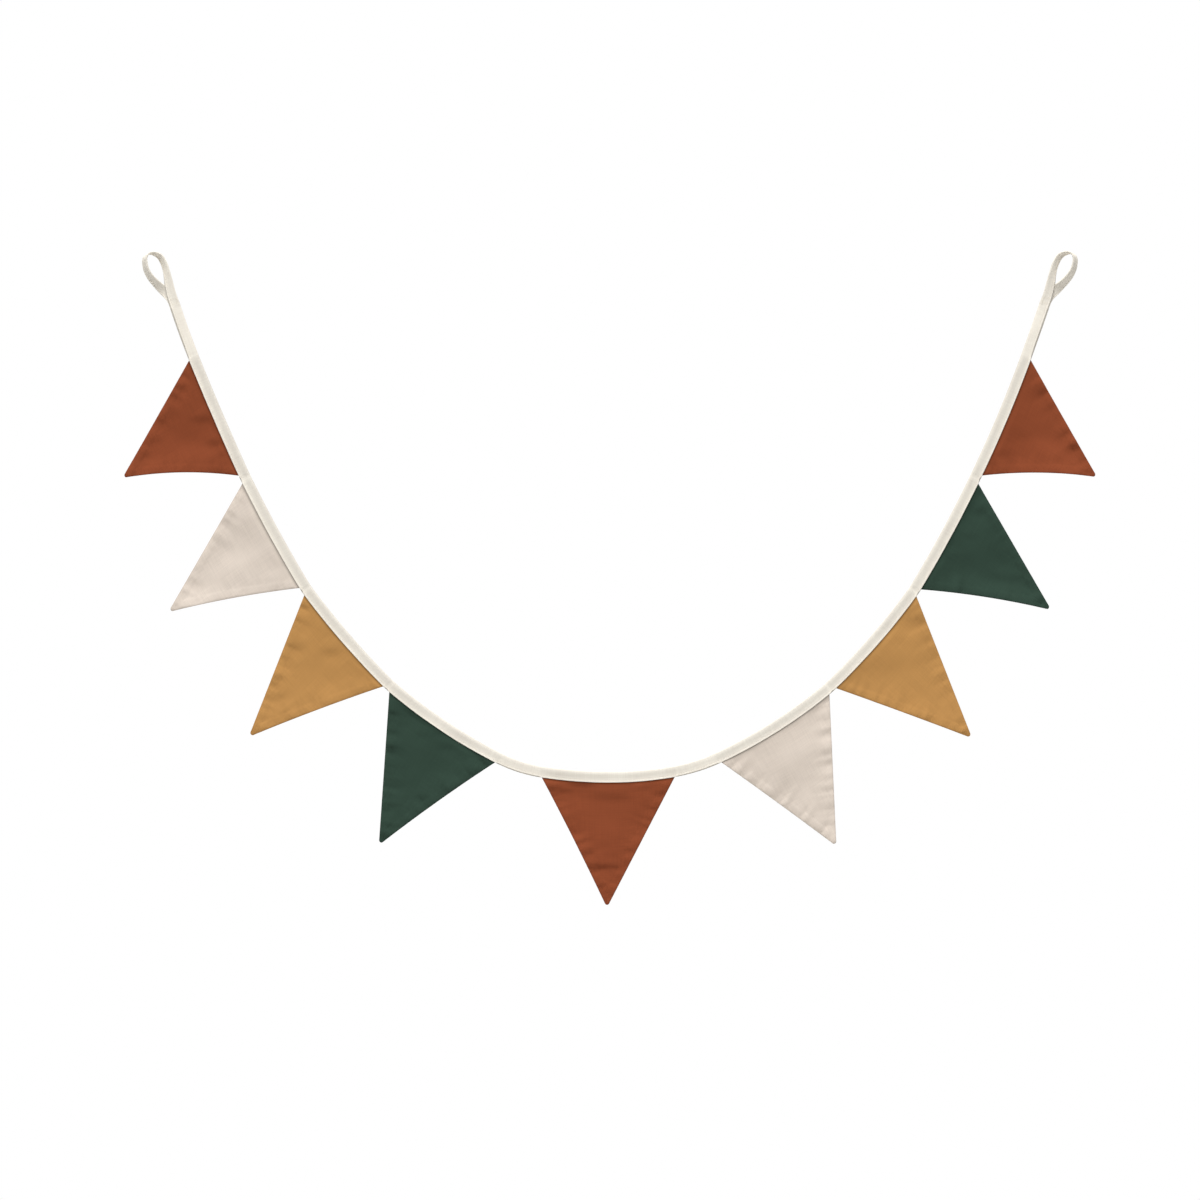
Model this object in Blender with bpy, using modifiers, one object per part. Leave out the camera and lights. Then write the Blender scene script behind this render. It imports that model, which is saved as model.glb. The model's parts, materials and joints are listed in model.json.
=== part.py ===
"""A swag of nine triangular cotton pennants, sewn into a folded cotton tape that ends in two
hanging loops. It hangs from the loops: +Z is up, +X runs from the left loop to the right one, and
the front faces -Y. The origin is where the left loop bears on its hook."""

from collections import namedtuple
from math import atan2, cos, pi, radians, sin

import bmesh
import bpy
from mathutils import Vector

MM = 0.001

# The tape: a strip of cloth folded lengthwise over the pennants' top edges.
TAPE_WIDTH = 12.7 * MM
TAPE_CLOTH = 1.0 * MM
PENNANT_CLOTH = 1.4 * MM
CLEARANCE = 0.3 * MM
OPEN_HALF = PENNANT_CLOTH / 2 + CLEARANCE + TAPE_CLOTH / 2
SHUT_HALF = CLEARANCE / 2 + TAPE_CLOTH / 2
OPEN_MARGIN = 0.6 * MM
PINCH_RAMP = 3.4 * MM

# The loops: the tape's flattened ends, turned back behind the tape.
LOOP_CLOTH = 1.6 * MM

# The pennants: two cloths sewn together, turned and pressed.
SEAM_DEPTH = 9.0 * MM
POINT_RADIUS = 2.8 * MM
POINT_ANGLES = (38, 12)

PENNANT_ACROSS = 6
PENNANT_DOWN = 8
LOOP_STEPS = 2

# From the lowest point of the swag outwards to either end, the slope of the tape, in degrees, at
# the far end of each stretch. The tape is stiff where a pennant is sewn in, and bends most in the
# bare gaps. A stretch with segments carries a pennant, and one with none is bare.
Stretch = namedtuple("Stretch", "name length slope segments")
LEFT_HALF = (
    Stretch("middle", 78.4 * MM, 8.6, 4),
    Stretch("wide_gap", 55.1 * MM, 27.1, 0),
    Stretch("low", 145.5 * MM, 40.3, 8),
    Stretch("low_gap", 9.1 * MM, 45.0, 0),
    Stretch("side", 138.4 * MM, 53.2, 8),
    Stretch("side_gap", 9.5 * MM, 58.9, 0),
    Stretch("high", 136.8 * MM, 63.8, 8),
    Stretch("high_gap", 10.0 * MM, 65.4, 0),
    Stretch("end", 144.5 * MM, 68.1, 8),
    Stretch("bare_end", 64.0 * MM, 71.9, 0),
)
RIGHT_HALF = (
    Stretch("middle", 73.6 * MM, 10.0, 4),
    Stretch("wide_gap", 55.1 * MM, 25.1, 0),
    Stretch("low", 146.2 * MM, 39.3, 8),
    Stretch("low_gap", 10.0 * MM, 43.9, 0),
    Stretch("side", 139.9 * MM, 53.9, 8),
    Stretch("side_gap", 9.0 * MM, 58.9, 0),
    Stretch("high", 138.4 * MM, 64.2, 8),
    Stretch("high_gap", 10.4 * MM, 64.5, 0),
    Stretch("end", 144.0 * MM, 69.9, 8),
    Stretch("bare_end", 64.5 * MM, 71.2, 0),
)
BARE_SEGMENT = 9.0 * MM

# drop is from the chord of the top edge to the point, sag how far the point falls downhill along
# the tape, arch how far the slack lower edge draws in, and lift and belly how far the point and
# the lower half stand forward.
Pennant = namedtuple("Pennant", "name cloth side stretch drop sag arch lift belly")
PENNANTS = (
    Pennant("pennant_1_rust", "rust", -1, "end", 120.5, 21.5, 4.8, 24, 8),
    Pennant("pennant_2_sand", "sand", -1, "high", 142.0, 20.0, 2.4, 15, 6),
    Pennant("pennant_3_mustard", "mustard", -1, "side", 151.5, 11.7, 1.4, 8, 4),
    Pennant("pennant_4_green", "green", -1, "low", 150.0, 14.3, 1.7, 5, 4),
    Pennant("pennant_5_rust", "rust", 1, "middle", 147.0, 2.0, 1.0, 7, 2),
    Pennant("pennant_6_sand", "sand", 1, "low", 149.0, 12.6, 0.5, 6, -3),
    Pennant("pennant_7_mustard", "mustard", 1, "side", 152.0, 10.5, 0.5, 10, 4),
    Pennant("pennant_8_green", "green", 1, "high", 139.5, 18.2, 2.8, 17, 6),
    Pennant("pennant_9_rust", "rust", 1, "end", 119.5, 22.2, 4.0, 22, 9),
)

# The loop's centre line from the tape's end: along the tape, aside from the swag and behind it,
# in millimetres, and the roll of the tape's face from the front (0) through edge on (90) to the
# back (180).
LoopPoint = namedtuple("LoopPoint", "name along aside behind roll")
LOOP = (
    LoopPoint("start", 0.3, 0.0, 0.0, 2),
    LoopPoint("junction", 12.5, 0.2, 0.0, 20),
    LoopPoint("stem", 26.0, -0.9, 0.0, 31),
    LoopPoint("branch", 39.0, -2.5, 0.2, 46),
    LoopPoint("shoulder", 49.5, -2.9, 0.6, 50),
    LoopPoint("bend", 59.6, -1.0, 1.1, 55),
    LoopPoint("top", 65.6, 4.6, 1.6, 71),
    LoopPoint("edge_on", 67.2, 10.3, 2.1, 90),
    LoopPoint("crown", 63.6, 15.9, 2.8, 110),
    LoopPoint("back", 54.7, 18.2, 3.8, 117),
    LoopPoint("waist", 46.5, 17.9, 5.0, 121),
    LoopPoint("return", 38.5, 15.6, 6.6, 127),
    LoopPoint("close", 29.8, 11.4, 8.2, 136),
    LoopPoint("tuck", 21.8, 6.9, 8.2, 152),
    LoopPoint("crossing", 14.0, 2.4, 5.4, 164),
    LoopPoint("tail", 7.0, 0.3, 3.0, 171),
    LoopPoint("tail_end", 0.8, 0.0, 2.3, 178),
)

CLOTH_COLOURS = {
    "rust": (0.258, 0.062, 0.026),
    "sand": (0.694, 0.610, 0.527),
    "mustard": (0.515, 0.266, 0.087),
    "green": (0.035, 0.064, 0.045),
    "tape": (0.807, 0.768, 0.680),
}

Station = namedtuple("Station", "x z slope")


def clear_scene():
    for item in list(bpy.data.objects):
        bpy.data.objects.remove(item, do_unlink=True)


def cotton(name):
    """The woven cotton of one colour."""
    material = bpy.data.materials.get("cotton_" + name)
    if material is None:
        material = bpy.data.materials.new("cotton_" + name)
        material.use_nodes = True
        shader = material.node_tree.nodes["Principled BSDF"]
        shader.inputs["Base Color"].default_value = (*CLOTH_COLOURS[name], 1)
        shader.inputs["Roughness"].default_value = 0.9
        shader.inputs["Metallic"].default_value = 0.0
    return material


def cloth_sheet(name, size, place, thickness, cloth, collection, parent):
    """A grid of size (across, along) laid where place(across, along) says, and thickened."""
    across, along = size
    sheet = bmesh.new()
    bmesh.ops.create_grid(sheet, x_segments=across, y_segments=along, size=0.5)
    for vertex in sheet.verts:
        column = round((vertex.co.x + 0.5) * across)
        row = round((vertex.co.y + 0.5) * along)
        vertex.co = place(column, row)
    mesh = bpy.data.meshes.new(name)
    sheet.to_mesh(mesh)
    sheet.free()
    mesh.materials.append(cotton(cloth))
    mesh.shade_smooth()
    piece = bpy.data.objects.new(name, mesh)
    piece.parent = parent
    collection.objects.link(piece)
    thicken = piece.modifiers.new("Cloth thickness", "SOLIDIFY")
    thicken.thickness = thickness
    thicken.offset = 0
    thicken.use_even_offset = True
    thicken.use_quality_normals = True
    return piece


def arc_point(start, length, slope):
    """The station at the end of a circular arc that leaves start and ends at the given slope."""
    turn = slope - start.slope
    if abs(turn) < 1e-6:
        chord = length
    else:
        chord = length * sin(turn / 2) / (turn / 2)
    middle = start.slope + turn / 2
    return Station(start.x + chord * cos(middle), start.z + chord * sin(middle), slope)


def half_of(side):
    return LEFT_HALF if side < 0 else RIGHT_HALF


def tape_station(distance):
    """The tape's centre line at a signed distance from the lowest point, left being negative."""
    side = -1 if distance < 0 else 1
    half = half_of(side)
    station = Station(0, 0, 0)
    left = abs(distance)
    for stretch in half:
        slope = radians(stretch.slope)
        if left > stretch.length and stretch is not half[-1]:
            station = arc_point(station, stretch.length, slope)
            left -= stretch.length
            continue
        share = left / stretch.length
        station = arc_point(station, left, station.slope + share * (slope - station.slope))
        break
    return Station(side * station.x, station.z, side * station.slope)


def tape_point(distance, outward, behind):
    """A point beside the centre line: outward is towards the pennants, behind is +Y."""
    at = tape_station(distance)
    return Vector((at.x + outward * sin(at.slope), behind, at.z - outward * cos(at.slope)))


def stretch_ends(side, name):
    """How far from the lowest point a named stretch of one half begins and ends."""
    start = 0
    for stretch in half_of(side):
        if stretch.name == name:
            return start, start + stretch.length
        start += stretch.length
    raise ValueError(name)


def pennant_span(pennant):
    """The two distances along the tape between which a pennant is sewn, uphill end first."""
    near, far = stretch_ends(pennant.side, pennant.stretch)
    if pennant.stretch == "middle":
        near = -stretch_ends(-pennant.side, pennant.stretch)[1]
    return pennant.side * far, pennant.side * near


def tape_marks(side):
    """Distances along one half of the tape, each with half the fold's spread at that place."""
    marks = []
    start = 0
    half = half_of(side)
    for stretch in half:
        end = start + stretch.length
        if stretch.segments:
            first = 0 if start == 0 else start - OPEN_MARGIN
            last = end + OPEN_MARGIN
            count = stretch.segments
            spread = OPEN_HALF
        else:
            first = start + OPEN_MARGIN + PINCH_RAMP
            last = end if stretch is half[-1] else end - OPEN_MARGIN - PINCH_RAMP
            count = max(1, round((last - first) / BARE_SEGMENT))
            spread = SHUT_HALF
        for step in range(count + 1):
            marks.append((side * (first + (last - first) * step / count), spread))
        start = end
    return marks


def build_tape(collection, parent):
    """The tape's cloth runs up the front, over the fold and down the back."""
    marks = tape_marks(-1)[:0:-1] + tape_marks(1)
    fold_turns = (0, pi / 4, pi / 2, 3 * pi / 4, pi)

    def place(column, row):
        distance, spread = marks[row]
        if column == 0 or column == len(fold_turns) + 1:
            return tape_point(distance, TAPE_WIDTH / 2, -spread if column == 0 else spread)
        turn = fold_turns[column - 1]
        ridge = -TAPE_WIDTH / 2 + TAPE_CLOTH / 2 + spread
        return tape_point(distance, ridge - spread * sin(turn), -spread * cos(turn))

    size = (len(fold_turns) + 1, len(marks) - 1)
    cloth_sheet("tape", size, place, TAPE_CLOTH, "tape", collection, parent)


def smooth_between(points, index, share):
    """A Catmull-Rom curve through points, each a tuple of numbers."""
    last = len(points) - 1
    before, start = points[max(index - 1, 0)], points[index]
    end, after = points[min(index + 1, last)], points[min(index + 2, last)]
    mixed = []
    for a, b, c, d in zip(before, start, end, after):
        bend = 2 * a - 5 * b + 4 * c - d
        twist = 3 * b - a - 3 * c + d
        mixed.append(b + 0.5 * share * (c - a + share * (bend + share * twist)))
    return mixed


def loop_frames(side):
    """The loop's stations: centre, tangent and face direction in the swag's frame."""
    end = side * sum(stretch.length for stretch in half_of(side))
    at = tape_station(end)
    along = Vector((side * cos(at.slope), 0, side * sin(at.slope)))
    aside = Vector((side * along.z, 0, -side * along.x))
    root = Vector((at.x, 0, at.z))
    rows = [(row.along * MM, row.aside * MM, row.behind * MM, radians(row.roll)) for row in LOOP]
    stations = []
    for index in range(len(rows) - 1):
        for step in range(LOOP_STEPS):
            stations.append(smooth_between(rows, index, step / LOOP_STEPS))
    stations.append(rows[-1])
    frames = []
    for index, (up, out, back, roll) in enumerate(stations):
        ahead = stations[min(index + 1, len(stations) - 1)]
        behind = stations[max(index - 1, 0)]
        heading = atan2(ahead[1] - behind[1], ahead[0] - behind[0])
        tangent = along * cos(heading) + aside * sin(heading)
        inward = aside * cos(heading) - along * sin(heading)
        face = Vector((0, -cos(roll), 0)) + inward * sin(roll)
        centre = root + along * up + aside * out + Vector((0, back, 0))
        frames.append((centre, tangent, face))
    return frames


def build_loop(name, side, collection, parent):
    frames = loop_frames(side)

    def place(column, row):
        centre, tangent, face = frames[row]
        edge = face.cross(tangent)
        return centre + edge * TAPE_WIDTH * (column / 2 - 0.5)

    cloth_sheet(name, (2, len(frames) - 1), place, LOOP_CLOTH, "tape", collection, parent)


def pennant_rows(half_width, drop):
    """Rows from the sewn edge to the point: (share of the way to the point, share of width)."""
    lean = atan2(half_width, drop)
    full_drop = drop + POINT_RADIUS * (1 / sin(lean) - 1)
    centre = full_drop - POINT_RADIUS / sin(lean)
    straight_end = centre + POINT_RADIUS * sin(lean)
    rows = []
    for step in range(PENNANT_DOWN + 1):
        down = straight_end * step / PENNANT_DOWN
        rows.append((down / drop, 1 - down / full_drop))
    for angle in POINT_ANGLES:
        down = centre + POINT_RADIUS * cos(radians(angle))
        rows.append((down / drop, POINT_RADIUS * sin(radians(angle)) / half_width))
    return rows


def build_pennant(pennant, collection, parent):
    uphill, downhill = pennant_span(pennant)
    edge = TAPE_WIDTH / 2
    high = tape_point(uphill, edge, 0)
    low = tape_point(downhill, edge, 0)
    middle = (high + low) / 2
    chord = (low - high).normalized()
    outward = Vector((-chord.z, 0, chord.x))
    if outward.z > 0:
        outward.negate()
    drop = pennant.drop * MM
    spine = outward * drop + chord * pennant.sag * MM
    rows = pennant_rows((low - high).length / 2, drop)
    lower_edge = (middle + spine - low).normalized()
    into_cloth = Vector((-lower_edge.z, 0, lower_edge.x))
    if into_cloth.dot(chord) > 0:
        into_cloth.negate()

    def place(column, row):
        across = column / PENNANT_ACROSS
        distance = uphill + (downhill - uphill) * across
        if row == 0:
            return tape_point(distance, edge - SEAM_DEPTH, 0)
        down, width = rows[row - 1]
        top = tape_point(distance, edge, 0)
        slack = 4 * down * (1 - down) * across ** 2
        forward = pennant.lift * down ** 2 + 2 * pennant.belly * slack * down
        at = middle + spine * down + (top - middle) * width
        at += into_cloth * pennant.arch * MM * slack
        at.y -= forward * MM
        return at

    size = (PENNANT_ACROSS, len(rows))
    cloth_sheet(pennant.name, size, place, PENNANT_CLOTH, pennant.cloth, collection, parent)


def left_bearing():
    """The inside of the left loop at its highest, where the hook bears."""
    centre = max((frame[0] for frame in loop_frames(-1)), key=lambda point: point.z)
    return centre - Vector((0, 0, LOOP_CLOTH / 2))


def main():
    clear_scene()
    collection = bpy.data.collections.new("fabric_bunting")
    bpy.context.scene.collection.children.link(collection)
    swag = bpy.data.objects.new("swag_frame", None)
    collection.objects.link(swag)
    swag.location = -left_bearing()
    build_tape(collection, swag)
    build_loop("loop_left", -1, collection, swag)
    build_loop("loop_right", 1, collection, swag)
    for pennant in PENNANTS:
        build_pennant(pennant, collection, swag)


main()
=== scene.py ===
"""A swag of nine triangular cotton pennants sewn into a folded cotton tape, in a plain studio.

The file is laid out as an add-on: its operators fold the tape, sew it, hang the pennants and set
the studio, each round the fixed frame. +Z is up, +X runs from the left loop to the right one, the
front faces -Y, and the origin is where the left loop bears on its hook."""

import json
from collections import namedtuple
from math import atan2, cos, pi, radians, sin

import bmesh
import bpy
import numpy as np
from bpy.props import FloatProperty, FloatVectorProperty, PointerProperty
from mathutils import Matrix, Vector, noise

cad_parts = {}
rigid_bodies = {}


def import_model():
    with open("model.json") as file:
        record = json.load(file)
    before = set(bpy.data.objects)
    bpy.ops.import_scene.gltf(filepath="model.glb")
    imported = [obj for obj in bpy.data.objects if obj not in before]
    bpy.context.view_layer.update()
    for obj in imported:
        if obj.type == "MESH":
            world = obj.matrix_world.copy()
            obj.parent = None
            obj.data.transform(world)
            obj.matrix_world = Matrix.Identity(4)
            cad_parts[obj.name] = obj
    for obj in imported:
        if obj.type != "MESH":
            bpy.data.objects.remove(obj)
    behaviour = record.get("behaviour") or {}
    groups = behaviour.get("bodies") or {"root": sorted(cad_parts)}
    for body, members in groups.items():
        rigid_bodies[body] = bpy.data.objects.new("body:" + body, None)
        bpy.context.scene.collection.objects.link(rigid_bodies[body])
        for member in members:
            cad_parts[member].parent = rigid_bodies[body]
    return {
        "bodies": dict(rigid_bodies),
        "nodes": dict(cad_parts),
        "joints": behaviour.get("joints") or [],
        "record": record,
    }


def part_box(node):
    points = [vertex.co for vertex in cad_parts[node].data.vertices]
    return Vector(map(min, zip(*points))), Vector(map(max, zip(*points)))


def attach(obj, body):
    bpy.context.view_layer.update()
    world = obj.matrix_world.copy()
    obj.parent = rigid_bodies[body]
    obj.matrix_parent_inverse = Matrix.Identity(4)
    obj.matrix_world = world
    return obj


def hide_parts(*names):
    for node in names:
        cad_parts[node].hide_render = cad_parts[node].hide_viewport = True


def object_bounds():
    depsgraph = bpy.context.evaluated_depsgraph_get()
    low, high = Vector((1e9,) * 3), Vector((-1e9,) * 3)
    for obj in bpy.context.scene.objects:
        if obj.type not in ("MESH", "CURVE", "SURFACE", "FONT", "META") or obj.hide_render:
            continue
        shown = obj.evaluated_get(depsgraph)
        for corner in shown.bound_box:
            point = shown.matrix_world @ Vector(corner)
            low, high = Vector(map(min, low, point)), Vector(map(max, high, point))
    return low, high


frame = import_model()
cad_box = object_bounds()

bl_info = {
    "name": "Fabric Bunting",
    "version": (1, 0, 0),
    "blender": (4, 5, 0),
    "location": "3D View > Sidebar > Bunting",
    "description": "Sews a swag of cotton pennants into a folded tape, in a plain studio",
    "category": "Add Mesh",
}

MM = 0.001
BODY = "root"
TAPE_PIECE = "folded_tape"
STITCH_PIECE = "tape_stitches"
CLOTH_MAP = "cloth"
# The attribute that says how much painted shade darkens each point's colour.
PAINTED_SHADE_ATTRIBUTE = "tone"

# A turn below this, in radians, counts as straight.
STRAIGHT = 1e-6

# Noise is 0 at whole numbers, so a place or a seed that stays fixed lies half way between two.
HALF_WAY = 0.5

# ---- How the swag hangs ----

# From the lowest point of the swag outwards to either end, the slope of the tape, in degrees, at
# the far end of each stretch. Stretches that carry a pennant are stiffer than the bare gaps.
Stretch = namedtuple("Stretch", "name length slope")
LEFT_HALF = (
    Stretch("middle", 78.4 * MM, 8.6),
    Stretch("wide_gap", 55.1 * MM, 27.1),
    Stretch("low", 145.5 * MM, 40.3),
    Stretch("low_gap", 9.1 * MM, 45.0),
    Stretch("side", 138.4 * MM, 53.2),
    Stretch("side_gap", 9.5 * MM, 58.9),
    Stretch("high", 136.8 * MM, 63.8),
    Stretch("high_gap", 10.0 * MM, 65.4),
    Stretch("end", 144.5 * MM, 68.1),
    Stretch("bare_end", 64.0 * MM, 71.9),
)
RIGHT_HALF = (
    Stretch("middle", 73.6 * MM, 10.0),
    Stretch("wide_gap", 55.1 * MM, 25.1),
    Stretch("low", 146.2 * MM, 39.3),
    Stretch("low_gap", 10.0 * MM, 43.9),
    Stretch("side", 139.9 * MM, 53.9),
    Stretch("side_gap", 9.0 * MM, 58.9),
    Stretch("high", 138.4 * MM, 64.2),
    Stretch("high_gap", 10.4 * MM, 64.5),
    Stretch("end", 144.0 * MM, 69.9),
    Stretch("bare_end", 64.5 * MM, 71.2),
)

# In millimetres: drop is from the chord of the top edge to the point, sag how far the point falls
# downhill along the tape, arch how far the slack lower edge draws in, and lift and belly how far
# the point and the lower half stand forward.
Pennant = namedtuple("Pennant", "node cloth side stretch drop sag arch lift belly")
PENNANTS = (
    Pennant("pennant_1_rust", "rust", -1, "end", 120.5, 21.5, 4.8, 24, 8),
    Pennant("pennant_2_sand", "sand", -1, "high", 142.0, 20.0, 2.4, 15, 6),
    Pennant("pennant_3_mustard", "mustard", -1, "side", 151.5, 11.7, 1.4, 8, 4),
    Pennant("pennant_4_green", "green", -1, "low", 150.0, 14.3, 1.7, 5, 4),
    Pennant("pennant_5_rust", "rust", 1, "middle", 147.0, 2.0, 1.0, 7, 2),
    Pennant("pennant_6_sand", "sand", 1, "low", 149.0, 12.6, 0.5, 6, -3),
    Pennant("pennant_7_mustard", "mustard", 1, "side", 152.0, 10.5, 0.5, 10, 4),
    Pennant("pennant_8_green", "green", 1, "high", 139.5, 18.2, 2.8, 17, 6),
    Pennant("pennant_9_rust", "rust", 1, "end", 119.5, 22.2, 4.0, 22, 9),
)

# The pennants' main creases, in millimetres from the middle of the sewn edge: aside is towards the
# low end of that edge, and across and height are how far a crease reaches level and up or down
# as it hangs. Each is a soft ridge over a trough, so its middle leans down and lies in shade, the
# more so the greater its strength. One of negative strength is a trough over a ridge, and its
# middle catches the light.
Fold = namedtuple("Fold", "aside down across height strength")
FOLDS = {
    "pennant_1_rust": (
        Fold(-50, 15, 5, 5, 14),
        Fold(-7, 13, 9, 5, 9),
        Fold(26, 9, 9, 6, 18),
        Fold(41, 7, 5, 5, 12),
        Fold(20, 40, 17, 13, -9),
        Fold(-31, 42, 6, 7, 6),
        Fold(-41, 49, 4, 5, -8),
        Fold(-17, 75, 6, 5, 9),
        Fold(-7, 88, 6, 6, 10),
        Fold(8, 80, 6, 7, -7),
        Fold(2, 107, 6, 5, 10),
    ),
    "pennant_2_sand": (
        Fold(-49, 15, 6, 6, 4),
        Fold(-25, 57, 7, 6, 5),
        Fold(-3, 94, 10, 7, 5),
        Fold(17, 34, 9, 8, 3),
        Fold(50, 22, 5, 7, 5),
        Fold(-5, 60, 10, 12, -3),
        Fold(5, 122, 5, 5, 4),
    ),
    "pennant_3_mustard": (
        Fold(-61, 7, 5, 4, 10),
        Fold(-2, 18, 8, 6, 9),
        Fold(-33, 43, 7, 6, 11),
        Fold(-38, 56, 5, 5, -6),
        Fold(-24, 65, 6, 4, 6),
        Fold(-22, 80, 6, 4, 9),
        Fold(-9, 98, 9, 5, 10),
        Fold(30, 48, 13, 12, -5),
        Fold(44, 18, 7, 6, -5),
        Fold(32, 68, 5, 7, 5),
        Fold(2, 122, 6, 5, 5),
    ),
    "pennant_4_green": (
        Fold(-59, 17, 5, 5, 10),
        Fold(-52, 26, 4, 4, -7),
        Fold(-15, 15, 6, 5, 9),
        Fold(17, 10, 9, 5, 10),
        Fold(46, 17, 9, 8, -9),
        Fold(-43, 41, 5, 5, -6),
        Fold(29, 50, 12, 10, -5),
        Fold(-12, 79, 9, 6, 9),
        Fold(18, 80, 6, 5, 8),
        Fold(10, 91, 8, 5, -6),
        Fold(-7, 104, 8, 4, 10),
        Fold(-7, 114, 6, 4, -7),
        Fold(3, 126, 6, 4, 11),
    ),
    "pennant_5_rust": (
        Fold(-36, 8, 8, 4, 8),
        Fold(55, 12, 10, 4, 12),
        Fold(-55, 20, 5, 5, 9),
        Fold(-3, 17, 17, 6, 8),
        Fold(-33, 62, 5, 5, 7),
        Fold(-24, 83, 5, 4, 10),
        Fold(42, 60, 5, 5, 7),
        Fold(0, 101, 22, 4.5, 18),
        Fold(27, 82, 5, 4, 7),
        Fold(7, 83, 9, 6, -5),
        Fold(0, 117, 8, 5, -4),
    ),
    "pennant_6_sand": (
        Fold(-55, 25, 5, 5, 4),
        Fold(-41, 50, 5, 5, 4),
        Fold(-22, 90, 6, 5, 6),
        Fold(56, 36, 5, 6, 5),
        Fold(44, 57, 5, 5, 4),
        Fold(24, 94, 6, 5, 6),
        Fold(6, 129, 6, 4, 8),
        Fold(0, 50, 14, 12, -2),
    ),
    "pennant_7_mustard": (
        Fold(-52, 19, 6, 6, 9),
        Fold(-36, 21, 5, 6, -5),
        Fold(-18, 13, 6, 5, 6),
        Fold(-30, 60, 6, 6, 5),
        Fold(-21, 95, 5, 4, 7),
        Fold(-10, 121, 5, 4, 7),
        Fold(33, 63, 6, 7, 5),
        Fold(17, 106, 6, 4, 9),
        Fold(3, 52, 12, 12, -4),
        Fold(9, 134, 5, 4, 7),
    ),
    "pennant_8_green": (
        Fold(-47, 17, 6, 6, 15),
        Fold(-13, 17, 9, 5, 7),
        Fold(12, 7, 9, 4, -7),
        Fold(40, 29, 10, 9, -9),
        Fold(-3, 87, 18, 6, 9),
        Fold(-20, 89, 6, 4, 8),
        Fold(20, 71, 8, 6, -7),
        Fold(-8, 109, 6, 5, 8),
        Fold(2, 123, 6, 4, 11),
    ),
    "pennant_9_rust": (
        Fold(38, 11, 8, 5, 12),
        Fold(8, 20, 12, 7, 6),
        Fold(3, 56, 15, 11, -8),
        Fold(38, 36, 7, 7, -6),
        Fold(11, 72, 5, 6, 8),
        Fold(24, 77, 5, 6, 8),
        Fold(-14, 80, 5, 5, 7),
        Fold(3, 106, 7, 5, 9),
    ),
}

# How steeply a crease's middle leans for each point of its strength.
FOLD_LEAN = 0.0239

# The loop's centre line from the tape's end, in millimetres: along the tape, aside from the swag
# and behind it. The tape's face rolls from the front (0) through edge on (90) to the back (180).
LoopPoint = namedtuple("LoopPoint", "name along aside behind roll")
LOOP = (
    LoopPoint("start", 0.3, 0.0, 0.0, 2),
    LoopPoint("junction", 12.5, 0.2, 0.0, 20),
    LoopPoint("stem", 26.0, -0.9, 0.0, 31),
    LoopPoint("branch", 39.0, -2.5, 0.2, 46),
    LoopPoint("shoulder", 49.5, -2.9, 0.6, 50),
    LoopPoint("bend", 59.6, -1.0, 1.1, 55),
    LoopPoint("top", 65.6, 4.6, 1.6, 71),
    LoopPoint("edge_on", 67.2, 10.3, 2.1, 90),
    LoopPoint("crown", 63.6, 15.9, 2.8, 110),
    LoopPoint("back", 54.7, 18.2, 3.8, 117),
    LoopPoint("waist", 46.5, 17.9, 5.0, 121),
    LoopPoint("return", 38.5, 15.6, 6.6, 127),
    LoopPoint("close", 29.8, 11.4, 8.2, 136),
    LoopPoint("tuck", 21.8, 6.9, 8.2, 152),
    LoopPoint("crossing", 14.0, 2.4, 5.4, 164),
    LoopPoint("tail", 7.0, 0.3, 3.0, 171),
    LoopPoint("tail_end", 0.8, 0.0, 2.3, 178),
)
LOOP_STEPS = 8

TAPE_WIDTH = 12.7 * MM
SEAM_DEPTH = 9.0 * MM
POINT_RADIUS = 2.8 * MM

# The tape's own unevenness: how far it stands out of its plane, and how it leans.
DRIFT_DEPTH = 0.8 * MM
DRIFT_WAVE = 40 * MM
DRIFT_SEED = 0
TILT = radians(9)
TILT_WAVE = 27 * MM
TILT_SEED = 3
STEADY_END = 30 * MM

Station = namedtuple("Station", "x z slope")
FORWARD = np.array((0.0, -1.0, 0.0))


def arc_point(start, length, slope):
    """The station at the end of a circular arc that leaves start and ends at the given slope."""
    turn = slope - start.slope
    chord = length if abs(turn) < STRAIGHT else length * sin(turn / 2) / (turn / 2)
    middle = start.slope + turn / 2
    return Station(start.x + chord * cos(middle), start.z + chord * sin(middle), slope)


def half_of(side):
    return LEFT_HALF if side < 0 else RIGHT_HALF


def half_length(side):
    return sum(stretch.length for stretch in half_of(side))


def tape_station(distance):
    """The tape's centre line at a signed distance from the lowest point, left being negative."""
    side = -1 if distance < 0 else 1
    half = half_of(side)
    station = Station(0, 0, 0)
    left = abs(distance)
    for stretch in half:
        slope = radians(stretch.slope)
        if left <= stretch.length or stretch is half[-1]:
            share = left / stretch.length
            station = arc_point(station, left, station.slope + share * (slope - station.slope))
            break
        station = arc_point(station, stretch.length, slope)
        left -= stretch.length
    return Station(side * station.x, station.z, side * station.slope)


def lowest_point():
    """Where the frame's tape has the lowest point of its centre line."""
    low, high = (np.array(corner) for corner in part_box("tape"))
    end = tape_station(-half_length(-1))
    lower_corner = end.x + TAPE_WIDTH / 2 * sin(end.slope)
    return np.array((low[0] - lower_corner, (low[1] + high[1]) / 2, low[2] + TAPE_WIDTH / 2))


SWAG_ORIGIN = lowest_point()


def smooth_steps(values):
    """0 up to 0 and 1 from 1 on, with a soft ramp between them."""
    values = np.clip(values, 0, 1)
    return values * values * (3 - 2 * values)


@np.vectorize
def soft_noise(x, y, seed):
    """A smooth random value, mostly from -0.5 to 0.5, that changes over a distance of about 1."""
    return noise.noise(Vector((x, y, seed)))


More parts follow.
